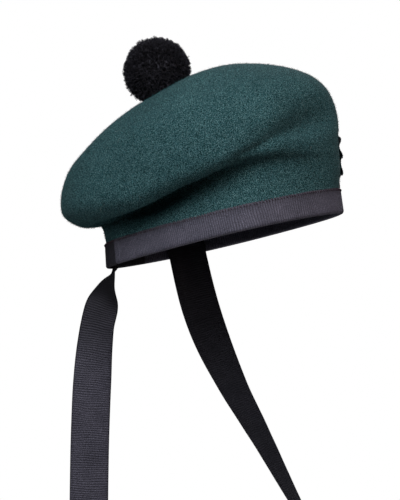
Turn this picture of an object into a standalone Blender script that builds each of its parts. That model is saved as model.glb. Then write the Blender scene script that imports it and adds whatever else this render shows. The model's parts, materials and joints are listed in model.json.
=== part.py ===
"""Balmoral bonnet of felted wool, modelled as it is worn.

The crown, headband, cockade and toorie are made in the bonnet's own frame: x to the wearer's left,
y to the back, z up from the headband's lower edge. An empty then tips that frame back on the head.
The two ribbon tails hang plumb, so they are made in the upright frame. Lengths are in metres.
Bearings are in degrees round the headband, 0 at the front, turning to the wearer's right.
"""

import math
import random
from collections import namedtuple

import bmesh
import bpy
import numpy as np
from mathutils import Euler, Matrix, Vector
from mathutils.bvhtree import BVHTree

# Headband ring, measured on the felt's outer face at the lower edge
RING_HALF_LENGTH = 0.1017
RING_HALF_WIDTH = 0.0837
RING_SQUARENESS = 2.3

# How the bonnet is tipped on the head, in degrees
TIP_BACK = 13.5
TIP_RIGHT = 3.8

# Cloth
FELT_THICKNESS = 0.0022
RIBBON_THICKNESS = 0.001
SEAT_GAP = 0.0003
REST_GAP = 2 * SEAT_GAP

# Felt crown
CROWN_HEIGHT = 0.135
OVERHANG = 0.028
PEAK_BACK = 0.014
PEAK_RIGHT = 0.012
PEAK_DIP = 0.005

# Grosgrain binding round the lower edge
BAND_HEIGHT = 0.020
BAND_INSIDE_HEIGHT = 0.018
HEM_RISE = RIBBON_THICKNESS + REST_GAP

# Wool toorie
TOORIE_RADIUS = 0.0284
TOORIE_STAND = 0.019
LOCK_FINENESS = 3
LOCK_GROOVE = 0.0022
LOCK_SCATTER = 0.05
LOCK_BROW = 0.42
LOCK_ROUNDING = 0.18
LOCK_UNEVENNESS = 0.015
LOCK_SEED = 7

# Ribbon cockade over the left temple
COCKADE_BEARING = 308.0
COCKADE_LIFT = 0.0005
COCKADE_RADIUS = 0.027
COCKADE_PLEATS = 12
PLEAT_HEIGHT = 0.0032
PLEAT_START = 0.35
PLEAT_SCALLOP = 0.0013
BUTTON_RADIUS = 0.008
BUTTON_HEIGHT = 0.005
BUTTON_BROW = 0.8

# Ribbon tails
TAIL_WIDTH = 0.032
TAIL_END_DEPTH = 0.233
TAIL_TUCK = 0.014
TAIL_SWING = 0.080

# Colour and roughness of each material
FELT_LOOK = (0.022, 0.066, 0.070, 0.95)
GROSGRAIN_LOOK = (0.035, 0.034, 0.045, 0.80)
WOOL_LOOK = (0.006, 0.006, 0.008, 0.95)

# Mesh fineness
BEARINGS_PER_HALF = 27
SKIRT_STATIONS = 2
CROWN_STATIONS = 20
TAIL_STATIONS = 34
TAIL_COLUMNS = 4
COCKADE_RINGS = 5
SPOKES_PER_PLEAT = 4

# Curve settings: the step in degrees for tangents, and the power of the distance between knots
TANGENT_STEP = 0.5
KNOT_POWER = 0.5

# One row for each bearing. Outward columns are shares of OVERHANG, rise columns are shares of
# CROWN_HEIGHT, and shoulder_in is a share of the way from the rim to the peak.
Section = namedtuple(
    "Section",
    "bearing skirt_out crease_out crease_rise under_out under_rise"
    " rim_out rim_rise shoulder_in shoulder_rise dome_rise",
)
CROWN_SECTIONS = [
    Section(0, 0.04, 0.15, 0.32, 0.33, 0.39, 0.44, 0.52, 0.09, 0.81, 1.01),
    Section(20, 0.02, 0.04, 0.36, 0.38, 0.41, 0.58, 0.49, 0.10, 0.77, 0.99),
    Section(55, -0.02, -0.16, 0.37, 0.46, 0.34, 0.78, 0.41, 0.13, 0.75, 0.93),
    Section(90, -0.05, -0.22, 0.31, 0.56, 0.27, 0.92, 0.35, 0.16, 0.69, 0.88),
    Section(120, -0.09, -0.16, 0.28, 0.50, 0.27, 0.98, 0.37, 0.17, 0.67, 0.85),
    Section(145, -0.12, -0.08, 0.27, 0.44, 0.28, 0.94, 0.38, 0.11, 0.62, 0.81),
    Section(180, -0.09, -0.08, 0.28, 0.50, 0.29, 1.01, 0.40, 0.14, 0.65, 0.81),
    Section(215, -0.05, -0.11, 0.30, 0.43, 0.31, 0.89, 0.44, 0.15, 0.68, 0.85),
    Section(250, 0.00, 0.00, 0.34, 0.29, 0.37, 0.61, 0.50, 0.12, 0.74, 0.90),
    Section(290, 0.04, 0.14, 0.36, 0.25, 0.41, 0.44, 0.56, 0.10, 0.80, 0.96),
    Section(325, 0.06, 0.21, 0.27, 0.32, 0.42, 0.53, 0.61, 0.10, 0.84, 1.01),
]
DOME_SHARE = 0.5

# One row for each dent pressed into the crown. Place and place_spread are shares of the way from
# the binding to the peak, slant is the change of place for each degree of bearing, and depth is a share
# of OVERHANG.
Dent = namedtuple("Dent", "bearing bearing_spread place place_spread slant depth")
DENTS = [
    Dent(2, 25, 0.255, 0.055, -0.0006, 0.32),
    Dent(24, 15, 0.230, 0.030, -0.0015, 0.11),
    Dent(75, 20, 0.330, 0.070, 0.0010, 0.05),
    Dent(205, 24, 0.300, 0.070, 0.0010, 0.10),
    Dent(262, 16, 0.220, 0.040, 0.0010, 0.12),
]

# One row for each place down a tail. Drop is a share of the fall from the headband's lower edge to
# the free end, out and aside are shares of TAIL_SWING square to the headband and on round it, turn is
# how far the ribbon has twisted in degrees, and cup is its bow across as a share of TAIL_WIDTH.
Fall = namedtuple("Fall", "drop out aside turn cup")
RIGHT_TAIL_BEARING = 150.0
RIGHT_TAIL = [
    Fall(0.00, 0.00, 0.00, 0, 0.08),
    Fall(0.07, 0.07, 0.00, -26, 0.03),
    Fall(0.14, 0.11, 0.00, -58, 0.00),
    Fall(0.22, 0.16, 0.00, -64, -0.01),
    Fall(0.30, 0.19, 0.00, -70, 0.00),
    Fall(0.45, 0.22, 0.00, -84, 0.01),
    Fall(0.62, 0.24, 0.00, -88, 0.02),
    Fall(1.00, 0.26, 0.00, -90, 0.02),
]
LEFT_TAIL_BEARING = 210.0
LEFT_TAIL = [
    Fall(0.00, 0.00, 0.00, 0, 0.08),
    Fall(0.25, 0.02, 0.19, 20, 0.03),
    Fall(0.52, -0.04, 0.50, 56, 0.01),
    Fall(0.71, -0.14, 0.77, 72, 0.01),
    Fall(0.86, -0.25, 0.97, 83, 0.01),
    Fall(1.00, -0.37, 1.15, 91, 0.01),
]


def through(knots, values, places):
    """Smooth values at the given places on a curve through the knots."""
    knots, values = np.asarray(knots, float), np.asarray(values, float)
    steps = np.diff(knots)
    slopes = np.diff(values, axis=0) / steps[:, None]
    before, after = steps[:-1, None], steps[1:, None]
    inner = (slopes[:-1] * after + slopes[1:] * before) / (before + after)
    tangents = np.vstack([slopes[:1], inner, slopes[-1:]])
    span = np.clip(np.searchsorted(knots, places, side="right") - 1, 0, len(steps) - 1)
    step = steps[span][:, None]
    t = (places - knots[span])[:, None] / step
    return (
        (2 * t**3 - 3 * t**2 + 1) * values[span]
        + (t**3 - 2 * t**2 + t) * step * tangents[span]
        + (3 * t**2 - 2 * t**3) * values[span + 1]
        + (t**3 - t**2) * step * tangents[span + 1]
    )


def section_at(bearings):
    """The crown table's columns at each bearing, joined smoothly right round."""
    rows = np.array(CROWN_SECTIONS, float)
    turn = np.zeros_like(rows)
    turn[:, 0] = 360.0
    looped = np.vstack([rows - turn, rows, rows + turn])
    values = through(looped[:, 0], looped, np.asarray(bearings, float))
    return Section(*values.T)


def ring_radius(bearings):
    """Distance from the ring's centre to the felt's outer face at the lower edge."""
    angle = np.radians(bearings)
    along = np.abs(np.cos(angle) / RING_HALF_LENGTH) ** RING_SQUARENESS
    across = np.abs(np.sin(angle) / RING_HALF_WIDTH) ** RING_SQUARENESS
    return (along + across) ** (-1.0 / RING_SQUARENESS)


def heading(bearings):
    """Level unit vectors pointing to the bearings."""
    angle = np.radians(bearings)
    return np.stack([-np.sin(angle), -np.cos(angle), np.zeros_like(angle)], axis=-1)


def ring_points(bearings):
    return ring_radius(bearings)[..., None] * heading(bearings)


def ring_outward(bearings):
    """Level unit vectors square to the ring."""
    along = ring_points(bearings + TANGENT_STEP) - ring_points(bearings - TANGENT_STEP)
    outward = np.stack([-along[..., 1], along[..., 0], np.zeros(along.shape[:-1])], axis=-1)
    return outward / np.linalg.norm(outward, axis=-1, keepdims=True)


def skirt_surface(bearings, rises):
    """Felt's outer face behind the binding, one row for each bearing."""
    table = section_at(bearings)
    out = (table.skirt_out * OVERHANG)[:, None] * (rises / BAND_HEIGHT)[None, :]
    points = ring_points(bearings)[:, None] + ring_outward(bearings)[:, None] * out[..., None]
    points[..., 2] = rises
    return points


def crown_controls(bearings):
    """Points that the crown's outer face passes through, from half way up the binding to the peak."""
    table = section_at(bearings)
    ring, outward = ring_points(bearings), ring_outward(bearings)
    top = np.array([-PEAK_RIGHT, PEAK_BACK, CROWN_HEIGHT - PEAK_DIP])

    def beside(out, rise):
        points = ring + outward * (out * OVERHANG)[:, None]
        points[:, 2] = rise
        return points

    def inward(share, rise):
        points = rim + (top - rim) * share
        points[:, 2] = rise
        return points

    level = np.ones(len(bearings))
    rim = beside(table.rim_out, table.rim_rise * CROWN_HEIGHT)
    shoulder = inward(table.shoulder_in[:, None], table.shoulder_rise * CROWN_HEIGHT)
    dome = inward(DOME_SHARE, table.dome_rise * CROWN_HEIGHT)
    controls = [
        beside(table.skirt_out / 2, level * BAND_HEIGHT / 2),
        beside(table.skirt_out, level * BAND_HEIGHT),
        beside(table.crease_out, table.crease_rise * CROWN_HEIGHT),
        beside(table.under_out, table.under_rise * CROWN_HEIGHT),
        rim,
        shoulder,
        dome,
        np.tile(top, (len(bearings), 1)),
        np.roll(dome, len(bearings) // 2, axis=0),
    ]
    return np.stack(controls, axis=1)


def crown_surface(bearings, stations):
    """Crown's outer face from the binding's top edge to the peak, one row for each bearing.

    The bearings must be an even number of equal steps, so that each curve runs on over the peak
    into the one opposite.
    """
    rows = []
    for controls in crown_controls(bearings):
        spacing = np.linalg.norm(np.diff(controls, axis=0), axis=1) ** KNOT_POWER
        knots = np.concatenate([[0.0], np.cumsum(spacing)])
        rows.append(through(knots, controls, np.linspace(knots[1], knots[-2], stations)))
    return press_dents(bearings, np.array(rows))


def surface_normals(grid):
    """Outward unit normals of a grid that closes round its first axis and ends in a point."""
    around = np.roll(grid, -1, axis=0) - np.roll(grid, 1, axis=0)
    up = np.gradient(grid, axis=1)
    normal = np.cross(up, around)
    normal[:, -1] = normal[:, -2].sum(axis=0)
    return normal / np.linalg.norm(normal, axis=-1, keepdims=True)


def press_dents(bearings, grid):
    """Move the felt in along its normal at each row of the dent table."""
    steps = np.linalg.norm(np.diff(grid, axis=1), axis=-1)
    travel = np.concatenate([np.zeros((len(grid), 1)), np.cumsum(steps, axis=1)], axis=1)
    place = travel / travel[:, -1:]
    depth = np.zeros(grid.shape[:2])
    for dent in DENTS:
        turn = (bearings - dent.bearing + 180.0) % 360.0 - 180.0
        off = place - dent.place - dent.slant * turn[:, None]
        reach = (turn[:, None] / dent.bearing_spread) ** 2 + (off / dent.place_spread) ** 2
        depth += dent.depth * OVERHANG * np.exp(-reach)
    depth[:, 0] = 0.0
    return grid - surface_normals(grid) * depth[..., None]


def even_bearings():
    """An even number of equal steps round the headband."""
    count = 2 * BEARINGS_PER_HALF
    return np.arange(count) * 360.0 / count


def felt_surface():
    """All of the felt's outer face: rows by bearing, stations from the lower edge to the peak."""
    bearings = even_bearings()
    rises = np.linspace(HEM_RISE, BAND_HEIGHT, SKIRT_STATIONS + 1)
    skirt = skirt_surface(bearings, rises)
    crown = crown_surface(bearings, CROWN_STATIONS)
    return np.concatenate([skirt, crown[:, 1:]], axis=1)


def add_ring(bm, points):
    return [bm.verts.new(point) for point in points]


def join_rings(bm, lower, upper, closed=True):
    """Quads between two rows of vertices."""
    count = len(lower)
    for i in range(count if closed else count - 1):
        j = (i + 1) % count
        bm.faces.new((lower[i], lower[j], upper[j], upper[i]))


def cap_ring(bm, ring, tip):
    """Triangles from a row of vertices to one point."""
    for i, vert in enumerate(ring):
        bm.faces.new((vert, ring[(i + 1) % len(ring)], tip))


def finish_piece(name, bm, material, parent=None):
    """Turn a bmesh into a named, smooth-shaded object."""
    bmesh.ops.recalc_face_normals(bm, faces=bm.faces)
    mesh = bpy.data.meshes.new(name)
    bm.to_mesh(mesh)
    bm.free()
    mesh.shade_smooth()
    mesh.materials.append(material)
    piece = bpy.data.objects.new(name, mesh)
    bpy.context.scene.collection.objects.link(piece)
    piece.parent = parent
    return piece


def cloth_material(name, look):
    """A plain material from a row of red, green, blue and roughness."""
    red, green, blue, roughness = look
    material = bpy.data.materials.new(name)
    material.use_nodes = True
    shader = material.node_tree.nodes["Principled BSDF"]
    shader.inputs["Base Color"].default_value = (red, green, blue, 1.0)
    shader.inputs["Roughness"].default_value = roughness
    shader.inputs["Metallic"].default_value = 0.0
    return material


def thicken(piece, thickness, offset):
    """Give a one-sided cloth surface its wall: offset -1 is inwards, 0 is both ways."""
    wall = piece.modifiers.new("wall", "SOLIDIFY")
    wall.thickness = thickness
    wall.offset = offset
    return piece


def make_crown(parent, material):
    """One felted piece: skirt, crease, overhanging roll and dome, with an even wall."""
    grid = felt_surface()
    bm = bmesh.new()
    rings = [add_ring(bm, grid[:, j]) for j in range(grid.shape[1] - 1)]
    for lower, upper in zip(rings, rings[1:]):
        join_rings(bm, lower, upper)
    cap_ring(bm, rings[-1], bm.verts.new(grid[0, -1]))
    crown = finish_piece("felt_crown", bm, material, parent)
    return thicken(crown, FELT_THICKNESS, -1.0)


def make_band(parent, material):
    """Grosgrain ribbon folded over the felt's lower edge, a leaf on each side."""
    bearings = even_bearings()
    outward = ring_outward(bearings)
    rises = np.linspace(HEM_RISE, BAND_HEIGHT, SKIRT_STATIONS + 1)
    inside_rises = np.linspace(HEM_RISE, BAND_INSIDE_HEIGHT, SKIRT_STATIONS + 1)
    near, far = SEAT_GAP, SEAT_GAP + RIBBON_THICKNESS

    def leaf(heights, offset):
        rows = skirt_surface(bearings, heights) + outward[:, None] * offset
        return [rows[:, j] for j in range(len(heights))]

    def fold(height, offset):
        return leaf(np.array([height]), offset)

    inner_face = -FELT_THICKNESS - near
    outline = leaf(rises, far)[::-1]
    outline += fold(0.0, near) + fold(0.0, inner_face)
    outline += leaf(inside_rises, -FELT_THICKNESS - far)
    outline += leaf(inside_rises, inner_face)[::-1]
    outline += fold(RIBBON_THICKNESS, inner_face) + fold(RIBBON_THICKNESS, near)
    outline += leaf(rises, near)
    bm = bmesh.new()
    rings = [add_ring(bm, row) for row in outline]
    for lower, upper in zip(rings, rings[1:] + rings[:1]):
        join_rings(bm, lower, upper)
    return finish_piece("head_band", bm, material, parent)


def felt_tree():
    """Search tree of the felt's outer face, and that face as a grid."""
    grid = felt_surface()
    count, stations = grid.shape[:2]
    faces = []
    for i in range(count):
        j = (i + 1) % count
        for k in range(stations - 1):
            a, b = i * stations + k, j * stations + k
            faces.append((a, b, b + 1, a + 1))
    return BVHTree.FromPolygons([Vector(p) for p in grid.reshape(-1, 3)], faces), grid


def seat_frame(point, normal, upward):
    """Frame with z along the normal and y as near upward as it can be."""
    z = Vector(normal).normalized()
    x = Vector(upward).cross(z).normalized()
    frame = Matrix((x, z.cross(x), z)).transposed().to_4x4()
    frame.translation = Vector(point)
    return frame


def felt_height(tree, frame, x, y):
    """Height of the felt over a seat frame's plane at (x, y)."""
    axis = frame.to_3x3() @ Vector((0.0, 0.0, 1.0))
    start = frame @ Vector((x, y, OVERHANG))
    hit = tree.ray_cast(start, -axis)[0]
    return (frame.inverted() @ hit).z


def make_toorie(parent, material, tree, grid):
    """Wool ball of plump locks, pressed flat where it is sewn to the peak."""
    normal = surface_normals(grid)[0, -1]
    seat = seat_frame(grid[0, -1], normal, (0.0, -1.0, 0.0))
    rng = random.Random(LOCK_SEED)
    ball = bmesh.new()
    bmesh.ops.create_icosphere(ball, subdivisions=LOCK_FINENESS, radius=1.0)
    for vert in ball.verts:
        scatter = Vector([rng.uniform(-LOCK_SCATTER, LOCK_SCATTER) for _ in range(3)])
        vert.co = (vert.co + scatter).normalized()
    heart = Vector((0.0, 0.0, TOORIE_STAND))

    def settle(direction, radius):
        point = heart + direction.normalized() * radius
        point.z = max(point.z, felt_height(tree, seat, point.x, point.y) + REST_GAP)
        return seat @ point

    bm = bmesh.new()
    ways = {face: face.calc_center_median() for face in ball.faces}
    corners = {face: bm.verts.new(settle(way, TOORIE_RADIUS - LOCK_GROOVE)) for face, way in ways.items()}
    for vert in ball.verts:
        middle = vert.co.copy()
        side = middle.orthogonal().normalized()
        other = middle.cross(side)
        around = sorted(vert.link_faces, key=lambda f: math.atan2(ways[f].dot(other), ways[f].dot(side)))
        plump = TOORIE_RADIUS * (1.0 - rng.uniform(0.0, LOCK_UNEVENNESS))
        shy = plump - LOCK_GROOVE * LOCK_ROUNDING
        brow = add_ring(bm, [settle(ways[face].lerp(middle, LOCK_BROW), shy) for face in around])
        join_rings(bm, [corners[face] for face in around], brow)
        cap_ring(bm, brow, bm.verts.new(settle(middle, plump)))
    ball.free()
    return finish_piece("toorie", bm, material, parent)


def make_cockade(parent, material, tree):
    """Pleated ribbon rosette with a covered button, lying on the felt."""
    outwards = Vector(heading(COCKADE_BEARING))
    start = outwards * (RING_HALF_LENGTH + OVERHANG)
    start.z = BAND_HEIGHT + COCKADE_LIFT + COCKADE_RADIUS
    hit, normal, _, _ = tree.ray_cast(start, -outwards)
    seat = seat_frame(hit, normal * math.copysign(1.0, normal.dot(outwards)), (0.0, 0.0, 1.0))
    spokes = COCKADE_PLEATS * SPOKES_PER_PLEAT
    turns = [2 * math.pi * i / spokes for i in range(spokes)]
    radii = np.linspace(BUTTON_RADIUS, COCKADE_RADIUS, COCKADE_RINGS)
    bm = bmesh.new()

    def on_felt(radius, angle, lift):
        x, y = radius * math.cos(angle), radius * math.sin(angle)
        return seat @ Vector((x, y, felt_height(tree, seat, x, y) + REST_GAP + lift))

    def rosette_ring(radius, lift):
        share = (radius - BUTTON_RADIUS) / (COCKADE_RADIUS - BUTTON_RADIUS)
        height = PLEAT_HEIGHT * (PLEAT_START + (1.0 - PLEAT_START) * share)
        points = []
        for angle in turns:
            wave = math.cos(COCKADE_PLEATS * angle)
            rise = height * (1.0 + wave) / 2
            points.append(on_felt(radius + PLEAT_SCALLOP * share * wave, angle, lift + rise))
        return add_ring(bm, points)

    under = [rosette_ring(radius, 0.0) for radius in radii]
    over = [rosette_ring(radius, RIBBON_THICKNESS) for radius in radii]
    for rings in (under, over):
        for lower, upper in zip(rings, rings[1:]):
            join_rings(bm, lower, upper)
    join_rings(bm, under[-1], over[-1])
    cap_ring(bm, under[0], bm.verts.new(on_felt(0.0, 0.0, 0.0)))
    shoulder = BUTTON_HEIGHT * BUTTON_BROW
    brow = add_ring(bm, [on_felt(BUTTON_RADIUS * BUTTON_BROW, angle, shoulder) for angle in turns])
    join_rings(bm, over[0], brow)
    cap_ring(bm, brow, bm.verts.new(on_felt(0.0, 0.0, BUTTON_HEIGHT)))
    return finish_piece("cockade", bm, material, parent)


def make_tail(name, bearing, falls, bonnet_frame, material):
    """Grosgrain tail tucked inside the headband, then hanging plumb from its lower edge."""
    drop, out, aside, turn, cup = np.array(falls, float).T
    inside_band = FELT_THICKNESS + SEAT_GAP + RIBBON_THICKNESS
    inset = inside_band + REST_GAP + RIBBON_THICKNESS / 2
    bearings = np.array([bearing])
    outward = ring_outward(bearings)[0]
    sideways = np.array([outward[1], -outward[0], 0.0])
    seats = skirt_surface(bearings, np.array([TAIL_TUCK, 0.0]))[0] - outward * inset
    tuck, lip = [np.array(bonnet_frame @ Vector(seat)) for seat in seats]
    centres = lip + (out[:, None] * outward + aside[:, None] * sideways) * TAIL_SWING
    centres[:, 2] = lip[2] - drop * (lip[2] + TAIL_END_DEPTH)
    centres = np.vstack([tuck, centres])
    square = math.degrees(math.atan2(-outward[0], -outward[1]))
    turns = square + np.concatenate([turn[:1], turn])
    cups = np.concatenate([cup[:1], cup])
    knots = np.concatenate([[0.0], np.cumsum(np.linalg.norm(np.diff(centres, axis=0), axis=1))])
    places = np.linspace(0.0, knots[-1], TAIL_STATIONS)
    line = through(knots, centres, places)
    facing = through(knots, turns[:, None], places)[:, 0]
    cup = through(knots, cups[:, None], places)[:, 0]
    along = np.gradient(line, axis=0)
    along /= np.linalg.norm(along, axis=1, keepdims=True)
    across = np.cross(heading(facing), along)
    across /= np.linalg.norm(across, axis=1, keepdims=True)
    normal = np.cross(along, across)
    shares = np.linspace(-0.5, 0.5, TAIL_COLUMNS + 1)
    bm = bmesh.new()
    rows = []
    for i in range(TAIL_STATIONS):
        bow = normal[i] * cup[i] * TAIL_WIDTH
        rows.append([line[i] + across[i] * share * TAIL_WIDTH - bow * (2 * share) ** 2 for share in shares])
    rings = [add_ring(bm, row) for row in rows]
    for lower, upper in zip(rings, rings[1:]):
        join_rings(bm, lower, upper, closed=False)
    return thicken(finish_piece(name, bm, material), RIBBON_THICKNESS, 0.0)


def main():
    for obj in list(bpy.data.objects):
        bpy.data.objects.remove(obj)
    felt = cloth_material("bottle_green_felt", FELT_LOOK)
    grosgrain = cloth_material("black_grosgrain", GROSGRAIN_LOOK)
    wool = cloth_material("black_wool", WOOL_LOOK)
    bonnet = bpy.data.objects.new("bonnet_tip", None)
    bpy.context.scene.collection.objects.link(bonnet)
    bonnet.rotation_euler = Euler((math.radians(-TIP_BACK), math.radians(-TIP_RIGHT), 0.0))
    bonnet_frame = bonnet.rotation_euler.to_matrix().to_4x4()
    tree, grid = felt_tree()
    make_crown(bonnet, felt)
    make_band(bonnet, grosgrain)
    make_toorie(bonnet, wool, tree, grid)
    make_cockade(bonnet, grosgrain, tree)
    make_tail("ribbon_right", RIGHT_TAIL_BEARING, RIGHT_TAIL, bonnet_frame, grosgrain)
    make_tail("ribbon_left", LEFT_TAIL_BEARING, LEFT_TAIL, bonnet_frame, grosgrain)


main()
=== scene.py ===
"""Balmoral bonnet of milled wool felt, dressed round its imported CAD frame.

The felt crown, the grosgrain headband and tails, the pleated cockade and the wool toorie are made
from the frame's own nodes, so that each piece sits where the frame has it. Lengths are in metres.
Bearings turn round the headband from the wearer's front to the wearer's right.
"""

import json
import math

import bmesh
import bpy
import numpy as np
from bpy.props import FloatProperty, FloatVectorProperty, IntProperty, PointerProperty
from mathutils import Matrix, Vector
from mathutils import noise as blender_noise
from mathutils.bvhtree import BVHTree

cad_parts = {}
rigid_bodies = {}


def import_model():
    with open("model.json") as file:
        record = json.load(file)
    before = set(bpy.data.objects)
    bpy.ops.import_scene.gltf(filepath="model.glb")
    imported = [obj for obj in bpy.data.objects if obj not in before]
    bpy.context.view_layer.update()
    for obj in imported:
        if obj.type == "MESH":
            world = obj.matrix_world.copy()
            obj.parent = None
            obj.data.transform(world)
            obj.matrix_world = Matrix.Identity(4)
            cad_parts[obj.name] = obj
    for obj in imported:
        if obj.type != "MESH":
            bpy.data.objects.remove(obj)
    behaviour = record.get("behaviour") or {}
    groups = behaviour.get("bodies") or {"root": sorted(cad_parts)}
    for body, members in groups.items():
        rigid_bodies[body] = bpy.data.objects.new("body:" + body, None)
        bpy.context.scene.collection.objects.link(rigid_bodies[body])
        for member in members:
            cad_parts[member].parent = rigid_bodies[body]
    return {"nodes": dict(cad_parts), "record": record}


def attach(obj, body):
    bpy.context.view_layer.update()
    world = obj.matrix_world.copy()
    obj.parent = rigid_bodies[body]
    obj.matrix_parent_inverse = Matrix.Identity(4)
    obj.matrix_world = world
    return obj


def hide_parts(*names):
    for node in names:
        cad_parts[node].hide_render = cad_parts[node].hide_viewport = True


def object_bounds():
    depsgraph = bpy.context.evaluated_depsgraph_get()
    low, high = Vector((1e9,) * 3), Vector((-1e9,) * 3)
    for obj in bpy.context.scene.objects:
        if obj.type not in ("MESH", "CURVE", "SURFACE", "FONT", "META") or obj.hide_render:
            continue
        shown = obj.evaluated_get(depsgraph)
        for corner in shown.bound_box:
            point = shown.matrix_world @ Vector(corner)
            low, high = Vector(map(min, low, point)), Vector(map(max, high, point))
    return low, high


for startup_object in list(bpy.data.objects):
    bpy.data.objects.remove(startup_object)
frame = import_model()
CAD_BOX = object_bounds()

bl_info = {
    "name": "Balmoral Bonnet",
    "version": (1, 0, 0),
    "blender": (4, 5, 0),
    "location": "3D View > Sidebar > Bonnet",
    "description": "Builds a felt balmoral bonnet with ribbon tails, cockade and toorie",
    "category": "Object",
}

# Distance within which the frame's split corners are joined, and the least length with a direction
WELD = 0.00002
NO_LENGTH = 1e-12

# Felt as the frame has it: wall, and how many rows the skirt behind the headband takes
FELT_WALL = 0.0022
SKIRT_ROWS = 2

# Rows beyond the peak that keep the felt's smooth face level there
ROWS_PAST_PEAK = 3

UPWARD = Vector((0.0, 0.0, 1.0))

# Step from one seed's place in the noise to the next
SEED_STEPS = (7.31, 3.17, 5.73)

# Camera: azimuth and height of the view, its distance and how far it is moved to the right and up
VIEW_AZIMUTH = -50.0
VIEW_ELEVATION = 3.0
VIEW_DISTANCE = 2.4
VIEW_RIGHT = -0.019935
VIEW_UP = -0.006863

# Its lens and the longer side of its sensor in millimetres, and the nearest thing that it sees
VIEW_LENS = 211.5
SENSOR_SIDE = 36.0
VIEW_CLIP = 0.05


# Sizes and colours

class BonnetSizes(bpy.types.PropertyGroup):
    rib_pitch: FloatProperty(
        name="Rib pitch", description="Distance between the ribs of the grosgrain",
        default=0.0019, min=0.0008, max=0.003, precision=4, unit="LENGTH",
    )
    rib_height: FloatProperty(
        name="Rib height", description="Height of the grosgrain's ribs over its grooves",
        default=0.00028, min=0.0, max=0.0005, precision=5, unit="LENGTH",
    )
    ribbon_wall: FloatProperty(
        name="Ribbon thickness", description="Thickness of the grosgrain",
        default=0.0007, min=0.0003, max=0.001, precision=4, unit="LENGTH",
    )
    stitch_pitch: FloatProperty(
        name="Stitch pitch", description="Distance between the stitches along the headband",
        default=0.0024, min=0.001, max=0.006, precision=4, unit="LENGTH",
    )
    thread: FloatProperty(
        name="Thread", description="Thickness of the sewing thread",
        default=0.0008, min=0.0002, max=0.001, precision=4, unit="LENGTH",
    )
    felt_ripple: FloatProperty(
        name="Felt ripple", description="Height of the felt's soft unevenness",
        default=0.0007, min=0.0, max=0.003, precision=4, unit="LENGTH",
    )
    nap_fibres: IntProperty(
        name="Nap fibres", description="Loose wool fibres standing on the felt",
        default=42000, min=0, max=45000,
    )
    nap_length: FloatProperty(
        name="Nap length", description="Length of the felt's loose fibres",
        default=0.0022, min=0.0005, max=0.004, precision=4, unit="LENGTH",
    )
    cockade_pleats: IntProperty(
        name="Cockade pleats", description="Raised pleats round the cockade",
        default=12, min=6, max=20,
    )
    yarn_ends: IntProperty(
        name="Yarn ends", description="Cut yarn ends in the toorie",
        default=3300, min=500, max=3500,
    )


class BonnetColours(bpy.types.PropertyGroup):
    felt: FloatVectorProperty(
        name="Felt", description="Bottle green of the milled wool", subtype="COLOR",
        size=3, default=(0.0270, 0.0860, 0.0975), min=0.0, max=1.0,
    )
    ribbon: FloatVectorProperty(
        name="Ribbon", description="Black of the grosgrain", subtype="COLOR",
        size=3, default=(0.082, 0.081, 0.113), min=0.0, max=1.0,
    )
    thread: FloatVectorProperty(
        name="Thread", description="Plum black of the sewing thread", subtype="COLOR",
        size=3, default=(0.030, 0.014, 0.026), min=0.0, max=1.0,
    )
    wool: FloatVectorProperty(
        name="Wool", description="Black of the toorie's yarn", subtype="COLOR",
        size=3, default=(0.0116, 0.0114, 0.0152), min=0.0, max=1.0,
    )


# Ribs of the grosgrain: points across each rib, and how far their lines wander sideways in turns
RIB_STEPS = 6
RIB_WANDER = 0.80
RIB_WANDER_SIZE = 0.014
RIB_SEED = 21

# Faintly violet gloss of the black ribbon and wool
GLOSS_TINT = (0.84, 0.82, 1.0, 1.0)

# Numbers kept on the ribbons for their material, with the shades that 0 and 1 stand for
# Rib height, for painted shade in the grooves and painted highlight on the crests
RIB_VALUE = "rib_height"
RIB_PAINTED_LIGHT = (0.58, 1.42)
# Painted shade on each point of the ribbons: 0 paints it black and 1 leaves its own colour
PAINTED_SHADE_VALUE = "painted_shade"
PAINTED_SHADE_RANGE = (0.0, 1.0)


# Bonnet's own frame

def bonnet_axes():
    """The bonnet's axes as columns: to the wearer's left, to the back and up from the headband."""
    mount = frame["record"]["mounts"][0]
    up = -Vector(mount["axis"]).normalized()
    left = Vector((0.0, 1.0, 0.0)).cross(up).normalized()
    return np.array(Matrix((left, up.cross(left), up)).transposed())


def into_bonnet(points):
    return points @ bonnet_axes()


def out_of_bonnet(points):
    return points @ bonnet_axes().T


# Reading the frame's nodes

def welded(node):
    """A node's mesh with its split corners joined."""
    bm = bmesh.new()
    bm.from_mesh(frame["nodes"][node].data)
    bmesh.ops.remove_doubles(bm, verts=bm.verts, dist=WELD)
    bm.normal_update()
    return bm


def rows_from(start):
    """Rows of vertices, each row one edge further from the first."""
    rows, seen = [list(start)], set(start)
    while rows[-1]:
        following = []
        for vert in rows[-1]:
            for edge in vert.link_edges:
                other = edge.other_vert(vert)
                if other not in seen:
                    seen.add(other)
                    following.append(other)
        rows.append(following)
    return rows[:-1]


def places_of(row):
    return np.array([vert.co for vert in row], float)


def spline_weights(count, places, closed):
    """Matrix that takes evenly spaced rows to the values of a smooth curve at the given places."""
    eye = np.eye(count)
    if closed:
        sides = np.roll(eye, 1, axis=1) + np.roll(eye, -1, axis=1)
        bend, pull = sides + 4 * eye, 6 * (sides - 2 * eye)
    else:
        bend, pull = eye.copy(), np.zeros_like(eye)
        for i in range(1, count - 1):
            bend[i, i - 1:i + 2] = 1, 4, 1
            pull[i, i - 1:i + 2] = 6, -12, 6
    curl = np.linalg.solve(bend, pull)
    low = np.floor(places).astype(int)
    if not closed:
        low = np.clip(low, 0, count - 2)
    t = (places - low)[:, None]
    s = 1 - t
    a, b = low % count, (low + 1) % count
    return s * eye[a] + t * eye[b] + (s**3 - s) / 6 * curl[a] + (t**3 - t) / 6 * curl[b]


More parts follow.
